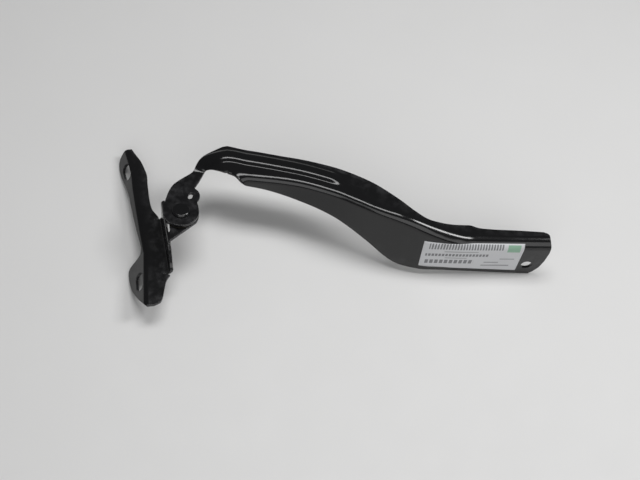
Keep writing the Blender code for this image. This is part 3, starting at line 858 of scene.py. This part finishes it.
def bracket_row(u):
    """One section: lug flange, bend, web, bend, wall, bend and ear."""
    fall = UPPER_END_SLOPE * max(0.0, u - UPPER_CREASE)
    level = WEB_LEVEL - fall
    left = np.array([-1.0, 0.0])
    right = np.array([1.0, 0.0])
    up = np.array([0.0, 1.0])
    bend = LUG_BEND_RADIUS - SHEET / 2
    tilt = np.radians(LUG_TILT)
    reach = smooth(LUG_EDGE, u)[0] - fall / np.cos(tilt)
    turn = min(90.0 - LUG_TILT, np.degrees(LUG_BEND_SHARE * reach / bend))
    corner = np.array([bend_start(u) - fall * np.tan(tilt), level])
    lug = turn_points(corner, left, -up, bend, turn, BEND_STEPS)
    down = turned(left, -up, turn)
    rest = reach - bend * np.radians(turn)
    tip = lug[-1]
    lug += [tip + down * rest * (j + 1) / FLANGE_STEPS for j in range(FLANGE_STEPS)]
    inner = WALL_BEND_RADIUS + SHEET / 2
    wall_v = WALL_OFFSET + WALL_FLARE * (WALL_END - u) / WALL_FLARE_RUN - SHEET / 2
    walled = WALL_START <= u <= WALL_END
    far = np.array([wall_v - inner if walled else smooth(RIGHT_EDGE, u)[0], level])
    steps = BRACKET_WEB_STEPS
    web = [corner + (far - corner) * k / steps for k in range(steps + 1)]
    wall = turn_points(web[-1], right, up, inner, 90, BEND_STEPS)
    foot = wall[-1]
    height = wall_top(u) - foot[1]
    wall += [foot + up * height * (j + 1) / FLANGE_STEPS for j in range(FLANGE_STEPS)]
    ear = turn_points(wall[-1], up, right, EAR_BEND_RADIUS - SHEET / 2, 90, BEND_STEPS)
    end = ear[-1]
    ear += [end + right * EAR_REACH * (j + 1) / FLANGE_STEPS for j in range(FLANGE_STEPS)]
    return [np.array([p[0], u, p[1]]) for p in lug[::-1] + web + wall + ear]


def bracket_places():
    """Places of the sections along the bracket, closer where its outline turns."""
    ends = [BRACKET_LOW, -88, WALL_START, EAR_START, -38, -31, WALL_END, 20, 54, 92, BRACKET_HIGH]
    counts = [8, 16, 12, 6, 12, 14, 10, 12, 20, 10]
    places = [BRACKET_LOW]
    for start, end, count in zip(ends, ends[1:], counts):
        places += list(np.linspace(start, end, count + 1)[1:])
    return places


def bracket_frame():
    turn = Matrix.Rotation(np.radians(BRACKET_TURN), 4, "Z")
    return Matrix.Translation(Vector(BRACKET_PLACE) * MM) @ turn


def ear_outline(centre):
    """What is cut away around the ear: the disc, its tangent and the root stay."""
    v, u = centre
    wall = WALL_OFFSET + 0.5
    disc = arc((v, u), EAR_RADIUS, 90, -38, 44)
    root = (wall + 2.0, EAR_START + 0.5)
    around = [(wall, -80.0), (120.0, -80.0), (120.0, 40.0), (wall, 40.0)]
    return [(wall, u + EAR_RADIUS)] + disc + [root, (wall, root[1] - 1.0)] + around


def lug_point(u, drop):
    """A point in the middle of a lug's sheet, by how far down the sheet it lies from the web."""
    bend = LUG_BEND_RADIUS - SHEET / 2
    turn = np.radians(90.0 - LUG_TILT)
    rest = drop - bend * turn
    v = bend_start(u) - bend * np.sin(turn) - rest * np.cos(turn)
    z = WEB_LEVEL - bend * (1 - np.cos(turn)) - rest * np.sin(turn)
    return Vector((v, u, z))


def lug_place(u, drop, angle):
    """A place on a lug, with its own Z out of the outer face and its own X along the bend line."""
    point = lug_point(u, drop)
    along = (lug_point(u + 1.0, drop) - point).normalized()
    down = (lug_point(u, drop + 1.0) - point).normalized()
    out = along.cross(down).normalized()
    basis = Matrix((along, out.cross(along), out)).transposed().to_4x4()
    return Matrix.Translation(point * MM) @ basis @ Matrix.Rotation(np.radians(angle), 4, "Z")


def press_bracket():
    """The base bracket, one sheet with lugs, web, wall and ear, and with its slots and bore."""
    places = bracket_places()
    rows = [bracket_row(u) for u in places]
    wall_from = BEND_STEPS + FLANGE_STEPS + BRACKET_WEB_STEPS
    ear_from = wall_from + BEND_STEPS + FLANGE_STEPS

    def skip(i, j):
        near, far = places[i], places[i + 1]
        if j >= ear_from:
            return near < EAR_START or far > WALL_END
        if j >= wall_from:
            return near < WALL_START or far > WALL_END
        return False

    own = bracket_frame()
    bracket = lofted("bracket_pressing", rows, skip, own)
    thicken(bracket, SHEET)
    centre = own.inverted() @ Vector((0, 0, 0))
    spot = Matrix.Translation(Vector((*EAR_RELIEF_PLACE, 0)) * MM)
    relief_place = own @ spot @ Matrix.Rotation(np.radians(90), 4, "Z")
    slot = slot_outline(LUG_SLOT_LENGTH, LUG_SLOT_RADIUS)
    tools = [
        punch(ear_outline((centre.x / MM, centre.y / MM)), -8.0, 8.0, own),
        punch(rivet_bore(), -20.0, 20.0, Matrix.Identity(4)),
        punch(slot_outline(EAR_RELIEF_LENGTH, EAR_RELIEF_RADIUS), -8.0, 8.0, relief_place),
        punch(slot, -9.0, 9.0, own @ lug_place(*LOWER_SLOT, SLOT_TURN)),
        punch(slot, -9.0, 9.0, own @ lug_place(*UPPER_SLOT, SLOT_TURN)),
    ]
    cut(bracket, tools)
    round_rims(bracket, RIM_ROUND)
    return bracket


# Pivot

RIVET_HEAD_RADIUS = 8.7
RIVET_HEAD_HEIGHT = 2.4
RIVET_HEAD_ROUND = 2.1
RIVET_CROWN_RADIUS = 5.4
RIVET_TAIL_RADIUS = 7.6
RIVET_TAIL_HEIGHT = 2.8
BUSH_RADIUS = 15.5
WASHER_RADIUS = 11.0
WASHER_THICKNESS = 1.5
RING_EDGE = 0.25


def lathe(name, profile, closed, steps=96):
    """A turned piece from its profile of radius and height, about the pivot axis."""
    bm = bmesh.new()
    rings = []
    for radius, height in profile:
        if radius == 0.0:
            rings.append([bm.verts.new(from_pivot(0, 0, height))] * steps)
            continue
        angles = np.linspace(0.0, 2 * np.pi, steps, endpoint=False)
        ring = [from_pivot(radius * np.cos(a), radius * np.sin(a), height) for a in angles]
        rings.append([bm.verts.new(place) for place in ring])
    pairs = list(zip(rings, rings[1:]))
    if closed:
        pairs.append((rings[-1], rings[0]))
    for upper, lower in pairs:
        for k in range(steps):
            corners = []
            for vert in (upper[k - 1], lower[k - 1], lower[k], upper[k]):
                if vert not in corners:
                    corners.append(vert)
            bm.faces.new(corners)
    bmesh.ops.recalc_face_normals(bm, faces=bm.faces)
    piece = new_piece(name, as_mesh(name, bm))
    even_normals(piece)
    return piece


def ring_profile(inner, outer, low, high, edge):
    """A flat ring with all four edges rounded."""
    out = []
    corners = [(outer, high, 90), (outer, low, 0), (inner, low, -90), (inner, high, -180)]
    for r, z, start in corners:
        centre = (r - edge if r == outer else r + edge, z - edge if z == high else z + edge)
        out += arc(centre, edge, start, start - 90, 4)
    return out


def make_pivot():
    """The rivet, the bush between ear and eye, and the washer under the ear."""
    head = EYE_LEVEL + SHEET / 2 + GAP
    washer_top = -SHEET - GAP
    washer_low = washer_top - WASHER_THICKNESS
    tail = washer_low - GAP
    top = head + RIVET_HEAD_HEIGHT
    crown = [(0.0, top), (RIVET_CROWN_RADIUS, top)]
    round_centre = (RIVET_HEAD_RADIUS - RIVET_HEAD_ROUND, top - RIVET_HEAD_ROUND)
    shoulder = arc(round_centre, RIVET_HEAD_ROUND, 85, 0, 8)
    under = [(RIVET_HEAD_RADIUS - 0.1, head + 0.08), (RIVET_HEAD_RADIUS - 0.3, head)]
    shank = [(RIVET_RADIUS, head), (RIVET_RADIUS, tail)]
    r = RIVET_TAIL_RADIUS
    foot = [(r - 0.2, tail), (r, tail - 0.2), (r, tail - 0.8), (r - 0.4, tail - 1.6)]
    foot += [(r - 1.3, tail - 2.3), (r - 3.0, tail - 2.7), (0.0, tail - RIVET_TAIL_HEIGHT)]
    rivet = lathe("rivet_turned", crown + shoulder + under + shank + foot, False)
    bore = RIVET_RADIUS + GAP
    bush_ring = ring_profile(bore, BUSH_RADIUS, GAP, GAP + BUSH_THICKNESS, RING_EDGE)
    washer_ring = ring_profile(bore, WASHER_RADIUS, washer_low, washer_top, RING_EDGE)
    return rivet, lathe("bush_ring", bush_ring, True), lathe("washer_ring", washer_ring, True)


# Sticker on the hood flange

STICKER_START = 235.0
STICKER_LENGTH = 101.0
STICKER_HEIGHT = 36.0
STICKER_SLANT = 5.0
STICKER_THICKNESS = 0.25
STICKER_GAP = 0.06
STICKER_TOP = HOOD_LEVEL + SHEET / 2 - 3.0
STICKER_TOP_Y = -27.8


def lay_sticker():
    """A thin film that follows the outer face of the hood flange and its bend."""
    end = STICKER_START + STICKER_LENGTH
    near = [row[WEB_STEPS:] for row in beam_rows() if STICKER_START - 6 < row[0][0] < end + 6]
    film = lofted("sticker", near, lambda i, j: False, Matrix.Identity(4))
    thicken(film, STICKER_THICKNESS, 2 * (SHEET / 2 + STICKER_GAP) / STICKER_THICKNESS + 1)
    low = STICKER_TOP - STICKER_HEIGHT
    outline = [(STICKER_START, low), (end, low - STICKER_SLANT), (end, STICKER_TOP)]
    outline.append((STICKER_START, STICKER_TOP))
    cut(film, [punch(outline, 0.0, 60.0, standing(0, 0, 0))], "INTERSECT")
    even_normals(film)
    return film


def dress(piece, finish, body, node):
    """Gives a piece its finish, and lets it stand for its CAD node on that node's body."""
    piece.data.materials.clear()
    piece.data.materials.append(finish)
    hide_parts(node)
    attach(piece, body)


def main():
    place_camera()
    light_the_room()
    lay_table(table_top())
    coat = dip_coat()
    rivet, bush, washer = make_pivot()
    dress(press_arm(), coat, "arm", "hood_arm")
    dress(press_bracket(), coat, "base", "base_bracket")
    dress(rivet, coat, "base", "pivot_rivet")
    dress(bush, bush_metal(), "base", "pivot_bush")
    dress(washer, plated_steel(), "base", "rivet_washer")
    dress(lay_sticker(), sticker_film(), "arm", "label")
    bpy.context.scene.view_settings.view_transform = "Standard"


main()
